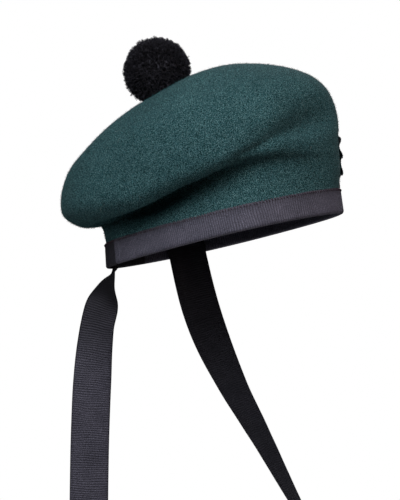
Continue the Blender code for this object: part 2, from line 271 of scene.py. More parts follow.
def felt_rows():
    """Outer face of the frame's crown in the bonnet's axes: rows from the hem up, then the peak."""
    bm = welded("felt_crown")
    up = Vector(bonnet_axes()[:, 2])
    peak = max(bm.verts, key=lambda vert: (len(vert.link_edges), vert.co.dot(up)))
    found = rows_from([peak])
    outer = found[1:len(found) // 2][::-1]
    rows = []
    for row in outer:
        points = into_bonnet(places_of(row))
        middle = points.mean(axis=0)
        turn = np.arctan2(middle[0] - points[:, 0], middle[1] - points[:, 1])
        points = points[np.argsort(turn)]
        if rows:
            shifts = [np.roll(points, k, axis=0) for k in range(len(points))]
            points = min(shifts, key=lambda moved: ((moved - rows[-1]) ** 2).sum())
        else:
            bearing = np.arctan2(-points[:, 0], -points[:, 1])
            points = np.roll(points, -int(np.argmin(np.abs(bearing))), axis=0)
        rows.append(points)
    peak_point = into_bonnet(np.array([peak.co]))
    bm.free()
    return np.array(rows), peak_point[0]


def felt_face(around, along):
    """Smooth outer face of the felt, indexed by place round the headband and by row from the hem.

    around counts in the frame's own columns and along in its rows; the last row is the peak.
    """
    rows, peak = felt_rows()
    half = rows.shape[1] // 2
    past = [np.roll(rows[-k], half, axis=0) for k in range(1, ROWS_PAST_PEAK + 1)]
    full = np.concatenate([rows, [np.tile(peak, (rows.shape[1], 1))], past])
    up = spline_weights(len(full), along, closed=False)
    turn = spline_weights(rows.shape[1], around, closed=True)
    return np.einsum("ai,bj,jik->abk", turn, up, full)


def unit(ways):
    """The same directions, each with a length of one."""
    return ways / np.maximum(np.linalg.norm(ways, axis=-1, keepdims=True), NO_LENGTH)


def face_normals(grid):
    """Outward unit normals of a face that closes round its first axis."""
    around = np.roll(grid, -1, axis=0) - np.roll(grid, 1, axis=0)
    return unit(np.cross(np.gradient(grid, axis=1), around))


def ripple(points, size, seed):
    """Smooth random height between -1 and 1 for each point, with hills of about the given size."""
    shift = Vector([seed * step for step in SEED_STEPS])
    flat = points.reshape(-1, 3) / size
    heights = [blender_noise.noise(Vector(point) + shift) for point in flat]
    return np.array(heights).reshape(points.shape[:-1])


def smooth_step(values, low, high):
    t = np.clip((values - low) / (high - low), 0.0, 1.0)
    return t * t * (3 - 2 * t)


# Building meshes

# Width of a fibre at its middle and tip as shares of its width at the root, and its least bow
MIDDLE_WIDTH = 0.8
TIP_WIDTH = 0.3
LEAST_BOW = 1e-9

# How upright a thread may run before its rings are laid from another axis
UPRIGHT = 0.8

# Swell of a thread from end to end: the part of a half wave that it follows, and that wave's power
SWELL_PART = (0.12, 0.88)
SWELL_POWER = 0.35


def strip_faces(rows, columns, close_rows=False, close_columns=False):
    """Quads over points stored row by row."""
    i, j = np.meshgrid(
        np.arange(rows if close_rows else rows - 1),
        np.arange(columns if close_columns else columns - 1),
        indexing="ij",
    )
    i2, j2 = (i + 1) % rows, (j + 1) % columns
    corners = [i * columns + j, i * columns + j2, i2 * columns + j2, i2 * columns + j]
    return np.stack(corners, axis=-1).reshape(-1, 4)


def add_piece(name, points, faces, material, nodes=()):
    """A smooth-shaded mesh that rides on the frame and stands for the given nodes."""
    mesh = bpy.data.meshes.new(name)
    mesh.from_pydata(np.asarray(points).reshape(-1, 3).tolist(), [], faces)
    bm = bmesh.new()
    bm.from_mesh(mesh)
    bmesh.ops.recalc_face_normals(bm, faces=bm.faces)
    bm.to_mesh(mesh)
    bm.free()
    mesh.shade_smooth()
    mesh.materials.append(material)
    piece = bpy.data.objects.new(name, mesh)
    bpy.context.scene.collection.objects.link(piece)
    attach(piece, "root")
    if nodes:
        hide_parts(*nodes)
    return piece


def add_values(piece, name, values):
    """One number for each point of a piece, for its material to read."""
    layer = piece.data.attributes.new(name, "FLOAT", "POINT")
    layer.data.foreach_set("value", np.asarray(values, np.float32).ravel())


def fibre_mesh(roots, tips, bows, widths):
    """Flat tapered fibres, each a bent strip of two quads from its root to its tip."""
    half = unit(np.cross(tips - roots, bows + LEAST_BOW)) * widths[:, None] / 2
    middle = (roots + tips) / 2 + bows
    points = np.stack([
        roots - half, roots + half, middle + half * MIDDLE_WIDTH, middle - half * MIDDLE_WIDTH,
        tips + half * TIP_WIDTH, tips - half * TIP_WIDTH,
    ], axis=1)
    base = np.arange(len(roots))[:, None] * points.shape[1]
    faces = np.concatenate([base + [0, 1, 2, 3], base + [3, 2, 4, 5]])
    return points.reshape(-1, 3), faces


def tube_mesh(lines, radius, sides):
    """Round threads along many short lines of the same number of points, thinner at their ends."""
    count, steps = lines.shape[:2]
    along = unit(np.gradient(lines, axis=1))
    helper = np.where(np.abs(along[..., 2:]) > UPRIGHT, [[[1.0, 0.0, 0.0]]], [[[0.0, 0.0, 1.0]]])
    across = unit(np.cross(along, helper))
    other = np.cross(along, across)
    swell = radius * np.sin(np.linspace(*SWELL_PART, steps) * math.pi) ** SWELL_POWER
    turn = np.arange(sides) * 2 * math.pi / sides
    ring = across[:, :, None] * np.cos(turn)[:, None] + other[:, :, None] * np.sin(turn)[:, None]
    points = lines[:, :, None] + ring * swell[None, :, None, None]
    body = strip_faces(steps, sides, close_columns=True)
    ends = [list(range(sides))[::-1], list(range((steps - 1) * sides, steps * sides))]
    faces = []
    for k in range(count):
        base = k * steps * sides
        faces += (body + base).tolist()
        faces += [[base + i for i in end] for end in ends]
    return points.reshape(-1, 3), faces


def both_faces(front, back):
    """Rows over a sheet's front and back, joined into rows round its section."""
    return np.concatenate([front, back[:, ::-1]], axis=1)


def end_caps(rows, columns):
    """Faces that close the first and the last row of points stored row by row."""
    return [list(range(first, first + columns)) for first in (0, (rows - 1) * columns)]


def search_tree(grid):
    """Search tree of a face that closes round its first axis."""
    count, rows = grid.shape[:2]
    faces = strip_faces(count, rows, close_rows=True)
    return BVHTree.FromPolygons(grid.reshape(-1, 3).tolist(), faces.tolist())


# Materials

# Greyness of the felt's palest flecks, from 0 for its own colour to 1 for grey
FLECK_GREY = 0.30


def shader_of(name, roughness, sheen, specular, sheen_roughness=0.5):
    """A node material with the shader's plain values set, its node tree and the piece's own places."""
    material = bpy.data.materials.new(name)
    material.use_nodes = True
    tree = material.node_tree
    shader = tree.nodes["Principled BSDF"]
    shader.inputs["Roughness"].default_value = roughness
    shader.inputs["Sheen Weight"].default_value = sheen
    shader.inputs["Sheen Roughness"].default_value = sheen_roughness
    shader.inputs["Specular IOR Level"].default_value = specular
    return material, shader, tree, tree.nodes.new("ShaderNodeTexCoord").outputs["Object"]


def add_node(tree, kind, **values):
    """A node with the sockets named in values set."""
    node = tree.nodes.new(kind)
    for key, value in values.items():
        node.inputs[key.title()].default_value = value
    return node


def noise_node(tree, place, scale, detail, roughness):
    node = add_node(tree, "ShaderNodeTexNoise", scale=scale, detail=detail, roughness=roughness)
    tree.links.new(place, node.inputs["Vector"])
    return node.outputs["Fac"]


def ramp_node(tree, factor, stops):
    """Colour ramp over the factor, with stops of a place and a colour."""
    node = tree.nodes.new("ShaderNodeValToRGB")
    while len(node.color_ramp.elements) < len(stops):
        node.color_ramp.elements.new(0.5)
    for element, (place, colour) in zip(node.color_ramp.elements, stops):
        element.position = place
        element.color = (*colour, 1.0)
    tree.links.new(factor, node.inputs["Fac"])
    return node.outputs["Color"]


def multiplied(tree, first, *others):
    """Colours of several sockets, multiplied."""
    for other in others:
        node = tree.nodes.new("ShaderNodeMix")
        node.data_type = "RGBA"
        node.blend_type = "MULTIPLY"
        node.inputs[0].default_value = 1.0
        tree.links.new(first, node.inputs[6])
        tree.links.new(other, node.inputs[7])
        first = node.outputs[2]
    return first


def value_ramp(tree, name, low, high):
    """Grey that runs from low to high with the piece's own number of that name."""
    own = tree.nodes.new("ShaderNodeAttribute")
    own.attribute_name = name
    return ramp_node(tree, own.outputs["Fac"], [(0.0, (low, low, low)), (1.0, (high, high, high))])


def bump_node(tree, height, distance, strength, before=None):
    node = add_node(tree, "ShaderNodeBump", strength=strength, distance=distance)
    tree.links.new(height, node.inputs["Height"])
    if before is not None:
        tree.links.new(before, node.inputs["Normal"])
    return node.outputs["Normal"]


def shade(colour, amount):
    return tuple(channel * amount for channel in colour)


def shades(colour, *stops):
    """Stops of a ramp, each a place and how light its shade of the colour is."""
    return [(place, shade(colour, amount)) for place, amount in stops]


def one_noise_material(finish, noise, stops):
    """A material whose colour runs through the stops with one noise, its shader, nodes and colour."""
    material, shader, tree, place = shader_of(**finish)
    tint = ramp_node(tree, noise_node(tree, place, **noise), stops)
    tree.links.new(tint, shader.inputs["Base Color"])
    return material, shader, tree, tint


def felt_material(colour):
    """Milled wool: cloudy colour, a fine salt-and-pepper of fibres and a matt, slightly furry skin."""
    finish = dict(name="bottle_green_felt", roughness=0.95, sheen=0.02, specular=0.08)
    material, shader, tree, place = shader_of(**finish)
    fibres = noise_node(tree, place, scale=1500.0, detail=2.0, roughness=0.60)
    grain = noise_node(tree, place, scale=620.0, detail=3.0, roughness=0.60)
    mottle = noise_node(tree, place, scale=170.0, detail=3.0, roughness=0.60)
    clouds = noise_node(tree, place, scale=26.0, detail=3.0, roughness=0.55)
    fleck = tuple((1 - FLECK_GREY) * channel + FLECK_GREY * max(colour) for channel in colour)
    dyed = shades(colour, (0.38, 0.12), (0.48, 0.75), (0.54, 1.25))
    speck = ramp_node(tree, fibres, dyed + shades(fleck, (0.66, 3.00)))
    patch = ramp_node(tree, mottle, [(0.36, (0.90, 0.92, 0.93)), (0.64, (1.10, 1.08, 1.06))])
    worn = ramp_node(tree, clouds, [(0.30, (0.90, 0.90, 0.90)), (0.70, (1.10, 1.08, 1.07))])
    tree.links.new(multiplied(tree, speck, patch, worn), shader.inputs["Base Color"])
    rough = bump_node(tree, grain, distance=0.0004, strength=0.50)
    rough = bump_node(tree, fibres, distance=0.0002, strength=0.50, before=rough)
    tree.links.new(rough, shader.inputs["Normal"])
    return material


def nap_material(colour):
    """Loose fibres on the felt, some paler than the cloth."""
    finish = dict(name="felt_nap", roughness=0.9, sheen=0.02, specular=0.10)
    noise = dict(scale=700.0, detail=2.0, roughness=0.5)
    stops = shades(colour, (0.35, 0.40), (0.52, 1.10), (0.68, 3.00))
    return one_noise_material(finish, noise, stops)[0]


def lint_material():
    """Pale, thin hair."""
    finish = dict(name="pale_lint", roughness=0.7, sheen=0.1, specular=0.3)
    noise = dict(scale=90.0, detail=2.0, roughness=0.5)
    stops = [(0.35, (0.10, 0.14, 0.14)), (0.65, (0.34, 0.38, 0.37))]
    return one_noise_material(finish, noise, stops)[0]


def ribbon_material(name, colour):
    """Black grosgrain: uneven colour, fine warp threads over the ribs and a broad, faintly violet gloss.
    """
    material, shader, tree, place = shader_of(
        name, roughness=0.60, sheen=0.05, specular=0.5, sheen_roughness=0.45,
    )
    shader.inputs["Specular Tint"].default_value = GLOSS_TINT
    threads = noise_node(tree, place, scale=1500.0, detail=3.0, roughness=0.65)
    patches = noise_node(tree, place, scale=60.0, detail=3.0, roughness=0.55)
    weave = ramp_node(tree, threads, shades(colour, (0.34, 0.35), (0.51, 1.0), (0.68, 2.0)))
    worn = ramp_node(tree, patches, [(0.30, (0.82, 0.82, 0.82)), (0.70, (1.16, 1.14, 1.12))])
    # Painted shade in the rib grooves and painted highlight on the crests
    ribs = value_ramp(tree, RIB_VALUE, *RIB_PAINTED_LIGHT)
    # Painted shade from the piece's own values
    painted_shade = value_ramp(tree, PAINTED_SHADE_VALUE, *PAINTED_SHADE_RANGE)
    tree.links.new(multiplied(tree, weave, worn, ribs, painted_shade), shader.inputs["Base Color"])
    rough = bump_node(tree, threads, distance=0.00012, strength=0.6)
    tree.links.new(rough, shader.inputs["Normal"])
    return material


def thread_material(colour):
    """Twisted sewing cotton."""
    finish = dict(name="sewing_thread", roughness=0.7, sheen=0.15, specular=0.3)
    noise = dict(scale=2200.0, detail=2.0, roughness=0.6)
    return one_noise_material(finish, noise, shades(colour, (0.35, 0.6), (0.65, 1.5)))[0]


def wool_material(name, colour):
    """Black knitting wool, with painted shade in near-black patches and painted glints in pale specks.
    """
    finish = dict(name=name, roughness=0.65, sheen=0.04, specular=0.45)
    noise = dict(scale=700.0, detail=3.0, roughness=0.6)
    # Painted shade at 0.12 and painted glints at 5.5 times the wool's colour
    stops = shades(colour, (0.38, 0.12), (0.50, 0.8), (0.66, 5.5))
    material, shader = one_noise_material(finish, noise, stops)[:2]
    shader.inputs["Specular Tint"].default_value = GLOSS_TINT
    return material


def floor_material():
    """Pale, slightly cloudy floor that glows a little."""
    finish = dict(name="pale_floor", roughness=0.9, sheen=0.0, specular=0.1)
    noise = dict(scale=1.5, detail=2.0, roughness=0.5)
    stops = [(0.3, (0.84, 0.84, 0.84)), (0.7, (0.88, 0.88, 0.875))]
    material, shader, tree, tint = one_noise_material(finish, noise, stops)
    tree.links.new(tint, shader.inputs["Emission Color"])
    shader.inputs["Emission Strength"].default_value = FLOOR_GLOW
    return material


# Felt crown

# Columns and rows of the felt's outer face, and rows of its inner one
FELT_AROUND = 378
FELT_ALONG = 128
LINING_ALONG = 30

# How far the hem's edge hangs below its two faces, as a share of the wall
HEM_DROP = 0.2

# Soft unevenness: size of its wide and its fine hills, height of the fine ones as a share of the
# wide ones', and the heights over the headband's lower edge where it starts and where it is full
RIPPLE_WIDE = 0.034
RIPPLE_FINE = 0.009
RIPPLE_FINE_SHARE = 0.16
RIPPLE_START = 0.024
RIPPLE_FULL = 0.040
WIDE_SEED = 3
FINE_SEED = 4

# Nap: where it starts up the felt, as a share of its rows, and the ranges of its fibres' length as a
# share of the nap's, of their lift and bow as shares of their own length, and of their width
NAP_START = 0.12
NAP_LENGTHS = (0.5, 1.4)
NAP_LIFTS = (0.05, 0.5)
NAP_BOWS = (0.05, 0.25)
NAP_WIDTHS = (0.00007, 0.00017)
NAP_SEED = 3

# Loose hairs lying on the felt: how many, their shortest and longest run, and their lift and radius
LINT_HAIRS = 34
LINT_LENGTH = (0.003, 0.016)
LINT_STEPS = 12
LINT_LIFT = 0.0003
LINT_RADIUS = 0.00006
LINT_SIDES = 4

# Where they lie, from a share of the felt's rows up to some rows short of the peak, how much they
# curl at each step, and how much the curl itself changes
LINT_START = 0.3
LINT_SHORT = 8
LINT_CURL = 0.16
LINT_WAVER = 0.05
LINT_SEED = 7


def shaped_felt(height):
    """The felt's outer face with its soft unevenness, still above the headband, and its normals."""
    rows = felt_rows()[0]
    around = np.arange(FELT_AROUND) * rows.shape[1] / FELT_AROUND
    grid = felt_face(around, np.linspace(0.0, len(rows), FELT_ALONG))
    rise = smooth_step(grid[..., 2], RIPPLE_START, RIPPLE_FULL)
    wave = ripple(grid, RIPPLE_WIDE, WIDE_SEED)
    wave += RIPPLE_FINE_SHARE * ripple(grid, RIPPLE_FINE, FINE_SEED)
    normals = face_normals(grid)
    normals[:, -1] = normals[:, -2].mean(axis=0)
    return grid + normals * (wave * rise * height)[..., None], normals


class BONNET_OT_felt_crown(bpy.types.Operator):
    """Felt crown with its crease, roll and soft dents, and the loose fibres of its nap"""

    bl_idname = "bonnet.felt_crown"
    bl_label = "Felt crown"

    def execute(self, context):
        sizes, colours = context.scene.bonnet_sizes, context.scene.bonnet_colours
        outer, normals = shaped_felt(sizes.felt_ripple)
        pick = np.linspace(0, FELT_ALONG - 2, LINING_ALONG).round().astype(int)
        inner = outer[:, pick] - normals[:, pick] * FELT_WALL
        edge = (outer[:, 0] + inner[:, 0]) / 2
        edge[:, 2] -= FELT_WALL * HEM_DROP
        rows = np.concatenate([outer[:, -2::-1], edge[:, None], inner], axis=1).transpose(1, 0, 2)
        count, columns = rows.shape[:2]
        faces = strip_faces(count, columns, close_columns=True).tolist()
        tops = [outer[0, -1], outer[0, -1] - normals[0, -1] * FELT_WALL]
        for tip, first in ((count * columns, 0), (count * columns + 1, (count - 1) * columns)):
            faces += [[first + i, first + (i + 1) % columns, tip] for i in range(columns)]
        points = out_of_bonnet(np.vstack([rows.reshape(-1, 3), tops]))
        felt = felt_material(colours.felt)
        add_piece("crown_felt", points, faces, felt, ["felt_crown"])
        self.add_nap(outer, normals, sizes, nap_material(colours.felt))
        self.add_lint(outer, normals, lint_material())
        return {"FINISHED"}

    def add_nap(self, outer, normals, sizes, material):
        """Scatter bent fibres evenly over the felt that shows."""
        rng = np.random.default_rng(NAP_SEED)
        start = int(FELT_ALONG * NAP_START)
        shown, facing = outer[:, start:-1], normals[:, start:-1]
        across = np.roll(shown, -1, axis=0) - shown
        up = np.diff(shown, axis=1)
        area = np.linalg.norm(np.cross(across[:, :-1], up), axis=-1)
        share = np.cumsum(area.ravel()) / area.sum()
        spots = np.searchsorted(share, rng.random(sizes.nap_fibres))
        i, j = np.unravel_index(spots, area.shape)
        s, t = rng.random((2, len(spots), 1))
        root = shown[i, j] + across[i, j] * s + up[i, j] * t
        normal = facing[i, j]
        loose = rng.normal(size=root.shape)
        flat = unit(loose - normal * (loose * normal).sum(axis=1, keepdims=True))
        length = sizes.nap_length * rng.uniform(*NAP_LENGTHS, (len(root), 1))
        lift = rng.uniform(*NAP_LIFTS, (len(root), 1))
        tip = root + (flat * np.sqrt(1 - lift**2) + normal * lift) * length
        bow = normal * length * rng.uniform(*NAP_BOWS, (len(root), 1))
        widths = rng.uniform(*NAP_WIDTHS, len(root))
        points, faces = fibre_mesh(root, tip, bow, widths)
        add_piece("crown_nap", out_of_bonnet(points), faces.tolist(), material)

    def add_lint(self, outer, normals, material):
        """A few pale hairs that lie curled on the felt."""
        rng = np.random.default_rng(LINT_SEED)
        tree = search_tree(outer)
        i = rng.integers(0, FELT_AROUND, LINT_HAIRS)
        j = rng.integers(int(FELT_ALONG * LINT_START), FELT_ALONG - LINT_SHORT, LINT_HAIRS)
        spots, facing = outer[i, j], normals[i, j]
        ways = unit(np.cross(facing, rng.normal(size=spots.shape)))
        curl = rng.normal(scale=LINT_CURL, size=(LINT_HAIRS, 1))
        step = rng.uniform(*LINT_LENGTH, (LINT_HAIRS, 1)) / LINT_STEPS
        lines = []
        for _ in range(LINT_STEPS):
            found = [tree.find_nearest(Vector(spot)) for spot in spots]
            spots = np.array([hit for hit, _, _, _ in found])
            lines.append(spots + facing * LINT_LIFT)
            ways = ways * np.cos(curl) + np.cross(facing, ways) * np.sin(curl)
            spots = spots + ways * step
            curl = curl + rng.normal(scale=LINT_WAVER, size=curl.shape)
        points, faces = tube_mesh(np.stack(lines, axis=1), LINT_RADIUS, LINT_SIDES)
        add_piece("crown_lint", out_of_bonnet(points), faces, material)


# Headband

# Gap between felt and ribbon, and how far the inner leaf reaches up
BAND_GAP = 0.0003
INSIDE_LEAF = 0.0175

# Rows up the outer leaf, up the inner leaf and up each face that lies against the felt, angles of the
# rows round the fold, and the room that the fold has under the felt's edge
OUTER_ROWS = 11
INNER_ROWS = 7
HIDDEN_ROWS = 3
FOLD_ANGLES = (30.0, 60.0, 90.0, 120.0, 150.0)
FOLD_ROOM = 0.0001

# Height of the ribs on the ribbon's outer leaf, fold, inner leaf and hidden faces, as shares
OUTER_RIBS = 1.0
FOLD_RIBS = 0.7
INNER_RIBS = 0.8
HIDDEN_RIBS = 0.0

# Ribs and thickness of the outer leaf's top edge, as shares
TOP_EDGE_RIBS = 0.3
TOP_EDGE_WALL = 0.75

# One row for each wave in the top edge: its height, how often it comes round the head and its shift
TOP_EDGE_WAVES = [(0.00025, 9, 1.0), (0.0002, 23, 0.0)]

# Ribbon that closes the headband at the back: bearings of its ends, degrees over which painted shade
# darkens it from there, and the share of colour that this painted shade keeps
CLOSING_ENDS = (124.5, 186.0)
CLOSING_EDGE = 0.6
CLOSING_PAINTED_SHADE = 0.18

# Fold of ribbon over its ends: how far it reaches past them and over how much of that it rises, in
# degrees, and its height
CLOSING_FOLD = 5.0
CLOSING_RISE = 1.0
CLOSING_LIFT = 0.0004

# Painted shade along the headband's top edge at the felt, and how far down it darkens the ribbon
BAND_TOP_PAINTED_SHADE = 0.60
BAND_TOP_FADE = 0.008

# One row for each point of a stitch: its place along the headband as a share of the stitch pitch, its
# rise over the top edge, its way out to the ribbon's face as a share, and its height over that
STITCH_PATH = [
    (-0.18, -0.0019, 1.0, -0.0003),
    (-0.10, -0.0016, 1.0, 0.0003),
    (0.00, -0.0009, 1.0, 0.0004),
    (0.08, -0.0002, 0.8, 0.0),
    (0.14, 0.0004, 0.0, -0.0002),
]

# How far a stitch strays from its even place, as a share of the pitch, and the sides of its section
STITCH_STRAY = 0.12
STITCH_SIDES = 6
STITCH_SEED = 5


def rib_waves(points):
    """Watered ribs, from -1 to 1, over a sheet of points whose first axis runs across the ribs."""
    wander = RIB_WANDER * ripple(points, RIB_WANDER_SIZE, RIB_SEED)
    return np.cos((np.arange(len(points))[:, None] / RIB_STEPS + wander) * 2 * math.pi)


def skirt_points(places, rises, offsets):
    """Points over the felt behind the headband, at heights above its edge and offsets off its face."""
    rows = felt_rows()[0][:SKIRT_ROWS + 1]
    low, high = spline_weights(rows.shape[1], places, closed=True) @ rows[[0, -1]]
    around = np.roll(low, -1, axis=0) - np.roll(low, 1, axis=0)
    outward = unit(np.stack([-around[:, 1], around[:, 0], np.zeros(len(around))], axis=1))
    outward *= np.sign((outward * low).sum(axis=1, keepdims=True))
    share = (rises - rows[0, 0, 2]) / (rows[-1, 0, 2] - rows[0, 0, 2])
    points = low[:, None] + (high - low)[:, None] * share[..., None]
    return points + outward[:, None] * offsets[..., None]


def band_profile(top, wall):
    """Rise, offset and rib share at each point round the folded ribbon's section."""
    half = FELT_WALL / 2
    reach = half + BAND_GAP + wall
    turn = reach + FOLD_ROOM
    inside = -FELT_WALL - BAND_GAP - wall
    out = [(rise, BAND_GAP + wall, OUTER_RIBS) for rise in np.linspace(top, turn, OUTER_ROWS)]
    out[0] = (top, BAND_GAP + wall * TOP_EDGE_WALL, TOP_EDGE_RIBS)
    for bend in map(math.radians, FOLD_ANGLES):
        out.append((turn - reach * math.sin(bend), reach * math.cos(bend) - half, FOLD_RIBS))
    out += [(rise, inside, INNER_RIBS) for rise in np.linspace(turn, INSIDE_LEAF, INNER_ROWS)]
    out += [(rise, inside + wall, HIDDEN_RIBS) for rise in np.linspace(INSIDE_LEAF, turn, HIDDEN_ROWS)]
    out.append((turn - half - BAND_GAP, -half, HIDDEN_RIBS))
    out += [(rise, BAND_GAP, HIDDEN_RIBS) for rise in np.linspace(turn, top, HIDDEN_ROWS)]
    return np.array(out)


class BONNET_OT_head_band(bpy.types.Operator):
    """Grosgrain folded over the felt's lower edge, and the stitches along its top"""

    bl_idname = "bonnet.head_band"
    bl_label = "Headband"

    def execute(self, context):
        sizes, colours = context.scene.bonnet_sizes, context.scene.bonnet_colours
        rows = felt_rows()[0]
        columns, top = rows.shape[1], rows[SKIRT_ROWS, 0, 2]
        girth = np.linalg.norm(np.roll(rows[0], -1, axis=0) - rows[0], axis=1).sum()
        ribs = round(girth / sizes.rib_pitch)
        places = np.arange(ribs * RIB_STEPS) * columns / (ribs * RIB_STEPS)
        rise, offset, share = band_profile(top, sizes.ribbon_wall).T
        side = np.sign(offset + FELT_WALL / 2)
        rises = np.tile(rise, (len(places), 1))
        angle = places * 2 * math.pi / columns
        sway = sum(height * np.sin(angle * waves + shift) for height, waves, shift in TOP_EDGE_WAVES)
        rises[:, 0] += sway
        rises[:, -1] += sway
        offset = np.tile(offset, (len(places), 1))
        bearing = places * 360.0 / columns
        start, end = CLOSING_ENDS
        inside = np.minimum(bearing - start, end - bearing)[:, None]
        closing = smooth_step(inside, 0.0, CLOSING_EDGE)
        fold = smooth_step(inside, -CLOSING_FOLD, CLOSING_RISE - CLOSING_FOLD) * (1 - closing)
        wave = rib_waves(skirt_points(places, rises, offset))
        lift = wave * sizes.rib_height / 2 * share * side
        lift += fold * CLOSING_LIFT * (offset > 0.0) * (share > 0.0)
        points = skirt_points(places, rises, offset + lift)
        faces = strip_faces(*points.shape[:2], close_rows=True, close_columns=True)
        cloth = ribbon_material("black_grosgrain_band", colours.ribbon)
        band = add_piece(
            "band_ribbon", out_of_bonnet(points.reshape(-1, 3)), faces.tolist(), cloth,
            ["head_band"],
        )
        # Rib heights, for painted shade in the grooves and painted highlight on the crests
        add_values(band, RIB_VALUE, (1 + wave * np.minimum(share, 1.0)) / 2)
        # Painted shade along the top edge
        painted_shade = BAND_TOP_PAINTED_SHADE + (1 - BAND_TOP_PAINTED_SHADE) * smooth_step(top - rise, 0.0, BAND_TOP_FADE)
        # Painted shade over the closing stretch at the back
        add_values(band, PAINTED_SHADE_VALUE, painted_shade * (1 - (1 - CLOSING_PAINTED_SHADE) * closing))
        self.add_stitches(girth, columns, top, sizes, thread_material(colours.thread))
        return {"FINISHED"}

    def add_stitches(self, girth, columns, top, sizes, material):
        """Small slanted stitches that catch the ribbon's top edge down to the felt."""
        rng = np.random.default_rng(STITCH_SEED)
        count = round(girth / sizes.stitch_pitch)
        step = columns / count
        centres = (np.arange(count) + rng.uniform(-STITCH_STRAY, STITCH_STRAY, count)) * step
        face = BAND_GAP + sizes.ribbon_wall
        lines = []
        for shift, rise, out, height in STITCH_PATH:
            rises, offsets = np.full((count, 1), top + rise), np.full((count, 1), face * out + height)
            lines.append(skirt_points(centres + shift * step, rises, offsets)[:, 0])
        points, faces = tube_mesh(np.stack(lines, axis=1), sizes.thread / 2, STITCH_SIDES)
        add_piece("band_stitches", out_of_bonnet(points), faces, material)


# Ribbon tails

TAIL_NODES = {"ribbon_right": "tail_right", "ribbon_left": "tail_left"}

# Painted shade of each tail, as the share of colour kept at its top and lower down, and how far
# down it is fully lighter, as a share; the far tail stays darker all along as painted shadow of the head
TAIL_PAINTED_SHADES = {"ribbon_right": (0.03, 0.66, 0.56), "ribbon_left": (0.08, 0.28, 0.60)}

# Share of a tail's length over which its painted shade stays as dark as at its top
TAIL_DARK = 0.14

# Selvedge of the tails: the share of colour that painted shade keeps along it, and its width
SELVEDGE_PAINTED_SHADE = 0.45
SELVEDGE = 0.0022

# Columns across a tail, and how much they crowd towards its edges, up to 1
TAIL_COLUMNS = 13
TAIL_CROWD = 0.6

# Thickness of a tail's edge as a share of the ribbon's, and how far in the ribbon and its ribs are full
EDGE_WALL = 0.35
EDGE_THIN = 0.0012
EDGE_FLAT = 0.0010

# Faces of a tail's free end: how far off its lowest point they lie and how much they look down
END_REACH = 0.04
END_DOWN = 0.5

# The frame's direction that a tail's first row of points runs towards
TAIL_ACROSS = (0.0, 1.0, 0.0)

# Soft unevenness of the tails: its height and size
TAIL_RIPPLE = 0.0003
TAIL_RIPPLE_SIZE = 0.022
TAIL_SEED = 11


def tail_rows(node):
    """Middle of a tail's wall in the frame: rows of points across it, from the free end up."""
    bm = welded(node)
    lowest = min(bm.verts, key=lambda vert: vert.co.z).co
    end = set()
    for face in bm.faces:
        if face.normal.z < -END_DOWN and (face.calc_center_median() - lowest).length < END_REACH:
            end.update(face.verts)
    rows, across = [], np.array(TAIL_ACROSS)
    for row in rows_from(end):
        points = places_of(row)
        gaps = np.linalg.norm(points[:, None] - points[None], axis=-1)
        first, last = np.unravel_index(np.argmax(gaps), gaps.shape)
        way = points[last] - points[first]
        if way @ across < 0:
            way = -way
        across = way / np.linalg.norm(way)
        points = points[np.argsort(points @ across)]
        rows.append((points[0::2] + points[1::2]) / 2)
    bm.free()
    return np.array(rows)


